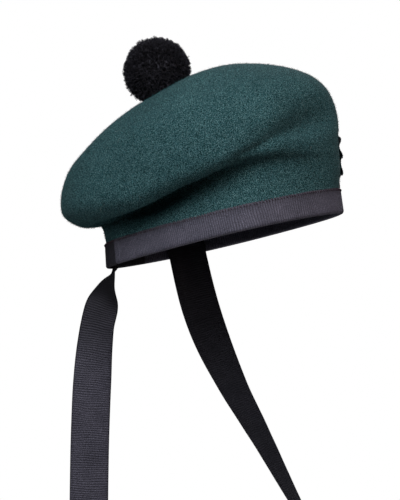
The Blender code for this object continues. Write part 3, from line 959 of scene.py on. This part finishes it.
class BONNET_OT_ribbon_tails(bpy.types.Operator):
    """Two grosgrain tails that hang from inside the headband at the back"""

    bl_idname = "bonnet.ribbon_tails"
    bl_label = "Ribbon tails"

    def execute(self, context):
        sizes, colours = context.scene.bonnet_sizes, context.scene.bonnet_colours
        cloth = ribbon_material("black_grosgrain_tails", colours.ribbon)
        for seed, (node, name) in enumerate(TAIL_NODES.items()):
            self.add_tail(node, name, seed, sizes, cloth)
        return {"FINISHED"}

    def add_tail(self, node, name, seed, sizes, cloth):
        rows = tail_rows(node)
        count, columns = rows.shape[:2]
        middle = rows[:, columns // 2]
        length = np.linalg.norm(np.diff(middle, axis=0), axis=1).sum()
        width = np.linalg.norm(np.diff(rows, axis=1), axis=-1).sum(axis=1).mean()
        steps = round(length / sizes.rib_pitch) * RIB_STEPS + 1
        down = spline_weights(count, np.linspace(0.0, count - 1, steps), closed=False)
        spread = (1 - np.cos(np.linspace(0.0, math.pi, TAIL_COLUMNS))) / 2
        spread = spread * TAIL_CROWD + np.linspace(0.0, 1.0, TAIL_COLUMNS) * (1 - TAIL_CROWD)
        across = spline_weights(columns, spread * (columns - 1), closed=False)
        sheet = np.einsum("ai,bj,ijk->abk", down, across, rows)
        normal = unit(np.cross(np.gradient(sheet, axis=0), np.gradient(sheet, axis=1)))
        swell = ripple(sheet, TAIL_RIPPLE_SIZE, TAIL_SEED + seed) * TAIL_RIPPLE
        sheet = sheet + normal * swell[..., None]
        wave = rib_waves(sheet)
        edge = np.minimum(spread, 1 - spread) * width
        thick = sizes.ribbon_wall / 2 * (EDGE_WALL + (1 - EDGE_WALL) * smooth_step(edge, 0.0, EDGE_THIN))
        lift = (thick + wave * sizes.rib_height / 2 * smooth_step(edge, 0.0, EDGE_FLAT))[..., None]
        ring = both_faces(sheet + normal * lift, sheet - normal * lift)
        faces = strip_faces(*ring.shape[:2], close_columns=True).tolist()
        wide = ring.shape[1]
        for first in (0, (steps - 1) * wide):
            faces += [
                [first + i, first + i + 1, first + wide - 2 - i, first + wide - 1 - i]
                for i in range(TAIL_COLUMNS - 1)
            ]
        tail = add_piece(name, ring, faces, cloth, [node])
        # Rib heights, for painted shade in the grooves and painted highlight on the crests
        add_values(tail, RIB_VALUE, (1 + both_faces(wave, wave)) / 2)
        # Painted shade down each tail, darkest at its top
        drop = np.linspace(1.0, 0.0, steps)[:, None]
        low, high, foot = TAIL_PAINTED_SHADES[node]
        painted_shade = low + (high - low) * smooth_step(drop, TAIL_DARK, foot)
        # Painted shade along the selvedges, where the edges turn from the light
        painted_shade = painted_shade * (SELVEDGE_PAINTED_SHADE + (1 - SELVEDGE_PAINTED_SHADE) * smooth_step(edge, 0.0, SELVEDGE))
        add_values(tail, PAINTED_SHADE_VALUE, both_faces(painted_shade, painted_shade))


# Cockade

# Painted shade that darkens the cockade's ribbon beside the headband's, and its thickness as a share
COCKADE_PAINTED_SHADE = 0.6
COCKADE_WALL = 0.5

# Raised pleats: their height, the share of it that they have at the button, how far their crests
# stand out of the edge, and their seat off the felt
PLEAT_RISE = 0.0032
PLEAT_START = 0.35
PLEAT_SCALLOP = 0.0013
PLEAT_SEAT = 0.0013

# Where they start under the button, as a share of its radius, how far out their ribs are full, as a
# share of their width, their rows and the columns of each rib
PLEAT_TUCK = 0.7
PLEAT_RIBS = 0.5
PLEAT_FACES = 10
RIB_COLUMNS = 4

# One row for each bend of a pleat: its place round the cockade as a share of a pleat from the crest,
# and its lift as a share of the pleat's rise
PLEAT_BENDS = [
    (-0.50, 0.46), (-0.30, 0.56), (-0.12, 0.84), (0.02, 1.00), (0.14, 0.94), (0.20, 0.82),
    (0.14, 0.68), (0.05, 0.60), (0.10, 0.52), (0.28, 0.46), (0.50, 0.46),
]

# Painted shade in the tucks, and the lifts between which it lightens, as shares of the pleat's rise
TUCK_PAINTED_SHADE = 0.12
TUCK_LIFTS = (0.52, 0.92)

# Covered button: its radius as a share of the cockade's, the heights of its crown and of the edge of
# its dome, and how square the dome is
BUTTON_SHARE = 0.31
BUTTON_RISE = 0.0052
BUTTON_EDGE = 0.0016
BUTTON_SQUARE = 2.6

# Its foot: radius as a share of the button's, and height
BUTTON_FOOT_SHARE = 0.9
BUTTON_FOOT = 0.0010

# Its points round and from crown to edge, where those start, and how late its ribs fade at the edge
BUTTON_SPOKES = 72
BUTTON_STEPS = 20
BUTTON_TOP = 0.02
BUTTON_RIBS = 4

# Height over a seat from which the felt below it is looked for
PROBE_HEIGHT = 0.02


def seat_over(tree, points):
    """Seat of a piece on the felt: its frame, with z off the felt and y upward, in the bonnet's axes."""
    hit, normal, _, _ = tree.find_nearest(Vector(points.mean(axis=0)))
    z = normal.normalized()
    if z.dot(Vector(points.mean(axis=0)) - hit) < 0:
        z = -z
    x = UPWARD.cross(z).normalized()
    seat = Matrix((x, z.cross(x), z)).transposed().to_4x4()
    seat.translation = hit
    return seat


def sewn_on(name, sizes):
    """Search tree of the felt, and the points and seat of a frame's node that is sewn to it."""
    tree = search_tree(shaped_felt(sizes.felt_ripple)[0])
    bm = welded(name)
    own = into_bonnet(places_of(bm.verts))
    bm.free()
    return tree, own, seat_over(tree, own)


def felt_height(tree, seat, x, y):
    """Height of the felt over the seat's plane."""
    hit = tree.ray_cast(seat @ Vector((x, y, PROBE_HEIGHT)), -(seat.to_3x3() @ UPWARD))[0]
    return 0.0 if hit is None else (seat.inverted() @ hit).z


class BONNET_OT_cockade(bpy.types.Operator):
    """Ribbon cockade in raised pleats with a covered button"""

    bl_idname = "bonnet.cockade"
    bl_label = "Cockade"

    def execute(self, context):
        sizes, colours = context.scene.bonnet_sizes, context.scene.bonnet_colours
        tree, own, seat = sewn_on("cockade", sizes)
        local = np.array([seat.inverted() @ Vector(point) for point in own])
        x, y, _ = local[np.argmax(np.hypot(local[:, 0], local[:, 1]))]
        radius, crest = math.hypot(x, y), math.atan2(y, x)
        # The headband's own ribbon, darkened as painted shade
        cloth = ribbon_material("black_grosgrain_cockade", shade(colours.ribbon, COCKADE_PAINTED_SHADE))
        self.add_pleats(tree, seat, radius, crest, sizes, cloth)
        self.add_button(tree, seat, radius * BUTTON_SHARE, sizes, cloth)
        return {"FINISHED"}

    def lay(self, tree, seat, local):
        """Points over the seat set down on the felt, in the frame's own axes."""
        heights = [felt_height(tree, seat, x, y) for x, y, _ in local]
        local = local + np.array(heights)[:, None] * [0.0, 0.0, 1.0]
        return out_of_bonnet(np.array([seat @ Vector(point) for point in local]))

    def add_pleats(self, tree, seat, radius, crest, sizes, cloth):
        """A ribbon laid in raised pleats round a circle, each one folded back under its crest."""
        pleats = sizes.cockade_pleats
        reach = radius - PLEAT_SCALLOP
        pitch = 2 * math.pi / pleats
        bends, lifts = np.array(PLEAT_BENDS).T
        lengths = np.hypot(np.diff(bends) * pitch * reach, np.diff(lifts) * PLEAT_RISE)
        whole = lengths.sum()
        marks = np.concatenate([[0.0], np.cumsum(lengths)]) / whole
        ribs = max(3, round(whole / sizes.rib_pitch))
        fine = np.arange(ribs * RIB_COLUMNS) / (ribs * RIB_COLUMNS)
        turn, lift = np.interp(fine, marks, bends), np.interp(fine, marks, lifts)
        angle = crest + ((np.arange(pleats)[:, None] + turn) * pitch).ravel()
        scallop = np.tile(np.cos(turn * 2 * math.pi), pleats)[:, None] * PLEAT_SCALLOP
        wave = np.tile(np.cos(fine * ribs * 2 * math.pi), pleats)[:, None] * sizes.rib_height / 2
        radii = np.linspace(radius * BUTTON_SHARE * PLEAT_TUCK, reach, PLEAT_FACES)
        fan = (radii - radii[0]) / (radii[-1] - radii[0])
        height = PLEAT_RISE * (PLEAT_START + (1 - PLEAT_START) * fan)
        top = PLEAT_SEAT + np.tile(lift, pleats)[:, None] * height
        top = top + wave * smooth_step(fan, 0.0, PLEAT_RIBS)
        r = radii + scallop * fan
        x, y = r * np.cos(angle)[:, None], r * np.sin(angle)[:, None]
        thick = sizes.ribbon_wall / 2 * COCKADE_WALL
        ring = both_faces(*(np.stack([x, y, top + side], axis=-1) for side in (thick, -thick)))
        faces = strip_faces(*ring.shape[:2], close_rows=True, close_columns=True)
        points = self.lay(tree, seat, ring.reshape(-1, 3))
        rosette = add_piece(
            "cockade_rosette", points, faces.tolist(), cloth, ["cockade"],
        )
        # Rib heights, for painted shade in the grooves and painted highlight on the crests
        add_values(rosette, RIB_VALUE, np.broadcast_to(0.5 + wave / sizes.rib_height, ring.shape[:2]))
        # Painted shade down in the tucks between the pleats
        tuck = np.tile(smooth_step(lift, *TUCK_LIFTS), pleats)[:, None]
        add_values(rosette, PAINTED_SHADE_VALUE, np.broadcast_to(TUCK_PAINTED_SHADE + (1 - TUCK_PAINTED_SHADE) * tuck, ring.shape[:2]))

    def add_button(self, tree, seat, radius, sizes, cloth):
        """Domed button covered in the same ribbon, its ribs running across."""
        share = np.sin(np.linspace(BUTTON_TOP, 1.0, BUTTON_STEPS) * math.pi / 2)[:, None]
        turn = np.arange(BUTTON_SPOKES) * 2 * math.pi / BUTTON_SPOKES
        x, y = radius * share * np.cos(turn), radius * share * np.sin(turn)
        dome = (BUTTON_RISE - BUTTON_EDGE) * np.sqrt(np.maximum(1 - share**BUTTON_SQUARE, 0.0))
        ribs = np.cos(x * 2 * math.pi / sizes.rib_pitch) * sizes.rib_height / 2
        z = BUTTON_EDGE + dome + ribs * (1 - share**BUTTON_RIBS)
        foot = np.full(BUTTON_SPOKES, BUTTON_FOOT)
        foot = np.stack([x[-1] * BUTTON_FOOT_SHARE, y[-1] * BUTTON_FOOT_SHARE, foot], axis=-1)
        rows = np.concatenate([np.stack([x, y, z], axis=-1), foot[None]])
        faces = strip_faces(*rows.shape[:2], close_columns=True).tolist()
        faces += end_caps(*rows.shape[:2])
        points = self.lay(tree, seat, rows.reshape(-1, 3))
        button = add_piece("cockade_button", points, faces, cloth)
        # Rib heights for the button's painted rib shade and highlight; it carries no other painted shade
        crest = 0.5 + np.concatenate([ribs, ribs[-1:]]) / sizes.rib_height
        add_values(button, RIB_VALUE, crest)
        add_values(button, PAINTED_SHADE_VALUE, np.ones(crest.shape))


# Toorie

# Heart of the ball: its radius as a share of the toorie's, height and size of its lumps as shares of
# its own, its gap over the felt, and the painted shade that darkens it beside the yarn
HEART_SHARE = 0.90
HEART_LUMPS = 0.06
HEART_LUMP_SIZE = 0.11
HEART_GAP = 0.0006
HEART_PAINTED_SHADE = 0.7
HEART_SEED = 17

# Its rows and columns, and the angle from its poles where the rows start
HEART_ROWS = 60
HEART_COLUMNS = 96
HEART_POLE = 0.02

# Yarn ends: how far they stray from even places, as a share of the room that each one has, and how
# much they lean
END_STRAY = 0.35
END_LEAN = 0.025

# Trim of the ends as a share of the toorie's radius, how uneven it is, and height and size of its waves
TRIM = 1.01
TRIM_UNEVEN = 0.005
TRIM_WAVE = 0.05
TRIM_WAVE_SIZE = 0.34

# Fibres of an end: how many, how far they splay at their tips and roots, their lengths beyond the
# heart as shares of the trim's, and how deep in the heart they root, as a share of its radius
FIBRES_PER_END = 13
TIP_SPLAY = 0.021
ROOT_SPLAY = 0.006
FIBRE_LENGTHS = (0.84, 1.00)
ROOT_DEPTH = 0.96

# Bow and widths of a fibre, the shortest one that stays, and the gap over the felt
FIBRE_BOW = 0.00035
FIBRE_WIDTHS = (0.00025, 0.00050)
LEAST_FIBRE = 0.0012
FIBRE_GAP = 0.0004
YARN_SEED = 17
WAVE_SEED = 19

# Nearest that a point is drawn in towards the ball's centre
LEAST_REACH = 0.001


def fitted_ball(points):
    """Centre and radius of the ball nearest to the points."""
    rows = np.c_[2 * points, np.ones(len(points))]
    found = np.linalg.lstsq(rows, (points**2).sum(axis=1), rcond=None)[0]
    centre = found[:3]
    return centre, math.sqrt(found[3] + centre @ centre)


def even_directions(count):
    """Directions spread evenly over a ball."""
    k = np.arange(count) + 0.5
    height = 1 - 2 * k / count
    turn = k * math.pi * (3 - math.sqrt(5))
    flat = np.sqrt(1 - height**2)
    return np.stack([flat * np.cos(turn), flat * np.sin(turn), height], axis=1)


class BONNET_OT_toorie(bpy.types.Operator):
    """Pompom of cut wool yarn, sewn to the peak"""

    bl_idname = "bonnet.toorie"
    bl_label = "Toorie"

    def execute(self, context):
        sizes, colours = context.scene.bonnet_sizes, context.scene.bonnet_colours
        tree, own, seat = sewn_on("toorie", sizes)
        free = (own - own.mean(axis=0)) @ np.array(seat.col[2][:3]) > 0.0
        centre, radius = fitted_ball(own[free])
        # The same wool, darkened as painted shade inside the ball
        inside = wool_material("toorie_inside", shade(colours.wool, HEART_PAINTED_SHADE))
        self.add_heart(tree, centre, radius, inside)
        self.add_yarn(tree, centre, radius, sizes, wool_material("toorie_yarn", colours.wool))
        return {"FINISHED"}

    def clear_of_felt(self, tree, points, centre, gap):
        """Points that would enter the felt, drawn back towards the ball's centre."""
        moved = []
        for point in points:
            way = Vector(point - centre)
            hit, _, _, far = tree.ray_cast(Vector(centre), way.normalized())
            if hit is not None and way.length > far - gap:
                point = centre + np.array(way.normalized()) * max(far - gap, LEAST_REACH)
            moved.append(point)
        return np.array(moved)

    def add_heart(self, tree, centre, radius, material):
        """Lumpy inside of the ball, seen between the yarn ends."""
        tilt = np.linspace(HEART_POLE, math.pi - HEART_POLE, HEART_ROWS)[:, None]
        turn = np.arange(HEART_COLUMNS) * 2 * math.pi / HEART_COLUMNS
        ways = np.stack([
            np.sin(tilt) * np.cos(turn), np.sin(tilt) * np.sin(turn),
            np.broadcast_to(np.cos(tilt), (HEART_ROWS, HEART_COLUMNS)),
        ], axis=-1)
        lumps = 1 + HEART_LUMPS * ripple(ways, HEART_LUMP_SIZE, HEART_SEED)
        points = centre + ways * (radius * HEART_SHARE * lumps)[..., None]
        points = self.clear_of_felt(tree, points.reshape(-1, 3), centre, HEART_GAP)
        faces = strip_faces(HEART_ROWS, HEART_COLUMNS, close_columns=True).tolist()
        faces += end_caps(HEART_ROWS, HEART_COLUMNS)
        add_piece("toorie_heart", out_of_bonnet(points), faces, material, ["toorie"])

    def add_yarn(self, tree, centre, radius, sizes, material):
        """Cut ends of yarn, each one a tuft of fibres that frays open at the tip."""
        rng = np.random.default_rng(YARN_SEED)
        ends = even_directions(sizes.yarn_ends)
        room = math.sqrt(4 * math.pi / sizes.yarn_ends)
        ends = unit(ends + rng.normal(scale=END_STRAY * room, size=ends.shape))
        trim = radius * (TRIM + TRIM_UNEVEN * rng.normal(size=(len(ends), 1)))
        trim += radius * TRIM_WAVE * ripple(ends[None], TRIM_WAVE_SIZE, WAVE_SEED)[0][:, None]
        lean = rng.normal(scale=END_LEAN, size=ends.shape)
        splay = rng.normal(size=(len(ends), FIBRES_PER_END, 3))
        length = rng.uniform(*FIBRE_LENGTHS, (len(ends), FIBRES_PER_END, 1))
        ways = unit(ends[:, None] + splay * TIP_SPLAY)
        base = ends[:, None] * (HEART_SHARE * ROOT_DEPTH) + splay * ROOT_SPLAY
        reach = HEART_SHARE + (trim[:, None] / radius - HEART_SHARE) * length
        roots = (centre + base * radius).reshape(-1, 3)
        tips = (centre + (ways + lean[:, None]) * reach * radius).reshape(-1, 3)
        tips = self.clear_of_felt(tree, tips, centre, FIBRE_GAP)
        keep = np.linalg.norm(tips - roots, axis=1) > LEAST_FIBRE
        keep &= np.linalg.norm(tips - centre, axis=1) > np.linalg.norm(roots - centre, axis=1)
        roots, tips = roots[keep], tips[keep]
        bows = rng.normal(scale=FIBRE_BOW, size=roots.shape)
        widths = rng.uniform(*FIBRE_WIDTHS, len(roots))
        points, faces = fibre_mesh(roots, tips, bows, widths)
        add_piece("toorie_yarn", out_of_bonnet(points), faces.tolist(), material)


# Stage

# Floor: how far it lies below the tails, its radius, its own glow and its sides
FLOOR_DROP = 1.6
FLOOR_RADIUS = 1.25
FLOOR_GLOW = 0.38
FLOOR_SIDES = 96

# Strength of the white all round, as the camera sees it and as a light
WORLD_SEEN = 1.0
WORLD_LIGHT = 0.0

# One row for each soft light: its azimuth and height from the mount, its side, power and warmth
LIGHTS = [
    ("side_window", -80.0, 45.0, 1.2, 22.0, 0.0),
    ("front_window", -25.0, 45.0, 1.2, 16.5, 0.0),
    ("low_side_window", -105.0, 20.0, 1.2, 10.5, 0.0),
    ("low_front_window", 10.0, 25.0, 1.2, 9.5, 0.4),
    ("back_window", 118.0, 20.0, 1.4, 18.0, 0.0),
]
LIGHT_DISTANCE = 2.2

# Green and blue that a fully warm light has lost
WARM_LOSS = (0.0, 0.45, 0.65)


def from_azimuth(azimuth, elevation):
    """Unit vector towards a place seen at that azimuth and height."""
    a, e = math.radians(azimuth), math.radians(elevation)
    return Vector((math.sin(a) * math.cos(e), -math.cos(a) * math.cos(e), math.sin(e)))


def look_from(obj, place, back):
    """Stand an object at a place, looking against the back direction."""
    right = UPWARD.cross(back).normalized()
    obj.matrix_world = Matrix((right, back.cross(right), back)).transposed().to_4x4()
    obj.location = place


class BONNET_OT_stage(bpy.types.Operator):
    """Pale floor, soft lights, plain surroundings and the camera"""

    bl_idname = "bonnet.stage"
    bl_label = "Stage"

    def execute(self, context):
        self.add_floor()
        self.add_lights()
        self.add_world(context.scene)
        self.add_camera(context.scene)
        return {"FINISHED"}

    def add_floor(self):
        turn = np.arange(FLOOR_SIDES) * 2 * math.pi / FLOOR_SIDES
        points = np.stack([np.cos(turn), np.sin(turn), np.zeros(FLOOR_SIDES)], axis=1) * FLOOR_RADIUS
        points[:, 2] = CAD_BOX[0].z - FLOOR_DROP
        mesh = bpy.data.meshes.new("floor")
        mesh.from_pydata(points.tolist(), [], [list(range(FLOOR_SIDES))])
        mesh.materials.append(floor_material())
        floor = bpy.data.objects.new("floor", mesh)
        bpy.context.scene.collection.objects.link(floor)

    def add_lights(self):
        for name, azimuth, elevation, side, power, warmth in LIGHTS:
            light = bpy.data.lights.new(name, "AREA")
            light.shape = "SQUARE"
            light.size = side
            light.energy = power
            light.color = [1 - loss * warmth for loss in WARM_LOSS]
            lamp = bpy.data.objects.new(name, light)
            bpy.context.scene.collection.objects.link(lamp)
            back = from_azimuth(azimuth, elevation)
            look_from(lamp, back * LIGHT_DISTANCE, back)

    def add_world(self, scene):
        """White all round for the camera, with a strength of its own for light."""
        world = bpy.data.worlds.new("pale_studio")
        world.use_nodes = True
        tree = world.node_tree
        seen = tree.nodes["Background"]
        seen.inputs["Color"].default_value = (1.0, 1.0, 1.0, 1.0)
        seen.inputs["Strength"].default_value = WORLD_SEEN
        cast = add_node(tree, "ShaderNodeBackground", color=(1.0, 1.0, 1.0, 1.0), strength=WORLD_LIGHT)
        pick = tree.nodes.new("ShaderNodeMixShader")
        path = tree.nodes.new("ShaderNodeLightPath")
        tree.links.new(path.outputs["Is Camera Ray"], pick.inputs[0])
        tree.links.new(cast.outputs[0], pick.inputs[1])
        tree.links.new(seen.outputs[0], pick.inputs[2])
        tree.links.new(pick.outputs[0], tree.nodes["World Output"].inputs["Surface"])
        scene.world = world
        scene.view_settings.view_transform = "Standard"

    def add_camera(self, scene):
        lens = bpy.data.cameras.new("view")
        lens.lens = VIEW_LENS
        lens.sensor_width = SENSOR_SIDE
        lens.clip_start = VIEW_CLIP
        camera = bpy.data.objects.new("view", lens)
        scene.collection.objects.link(camera)
        back = from_azimuth(VIEW_AZIMUTH, VIEW_ELEVATION)
        right = UPWARD.cross(back).normalized()
        place = back * VIEW_DISTANCE + right * VIEW_RIGHT + back.cross(right) * VIEW_UP
        look_from(camera, place, back)
        scene.camera = camera


class BONNET_PT_panel(bpy.types.Panel):
    """Lists the bonnet's pieces, sizes and colours"""

    bl_idname = "BONNET_PT_panel"
    bl_label = "Balmoral Bonnet"
    bl_space_type = "VIEW_3D"
    bl_region_type = "UI"
    bl_category = "Bonnet"

    def draw(self, context):
        column = self.layout.column()
        for operator in OPERATORS:
            column.operator(operator.bl_idname)
        for group in (context.scene.bonnet_sizes, context.scene.bonnet_colours):
            for key in group.__annotations__:
                column.prop(group, key)


OPERATORS = (
    BONNET_OT_felt_crown,
    BONNET_OT_head_band,
    BONNET_OT_ribbon_tails,
    BONNET_OT_cockade,
    BONNET_OT_toorie,
    BONNET_OT_stage,
)
CLASSES = (BonnetSizes, BonnetColours, *OPERATORS, BONNET_PT_panel)


def register():
    for cls in CLASSES:
        bpy.utils.register_class(cls)
    bpy.types.Scene.bonnet_sizes = PointerProperty(type=BonnetSizes)
    bpy.types.Scene.bonnet_colours = PointerProperty(type=BonnetColours)


def unregister():
    del bpy.types.Scene.bonnet_colours
    del bpy.types.Scene.bonnet_sizes
    for cls in reversed(CLASSES):
        bpy.utils.unregister_class(cls)


def main():
    register()
    bpy.ops.bonnet.felt_crown()
    bpy.ops.bonnet.head_band()
    bpy.ops.bonnet.ribbon_tails()
    bpy.ops.bonnet.cockade()
    bpy.ops.bonnet.toorie()
    bpy.ops.bonnet.stage()


if __name__ == "__main__":
    main()
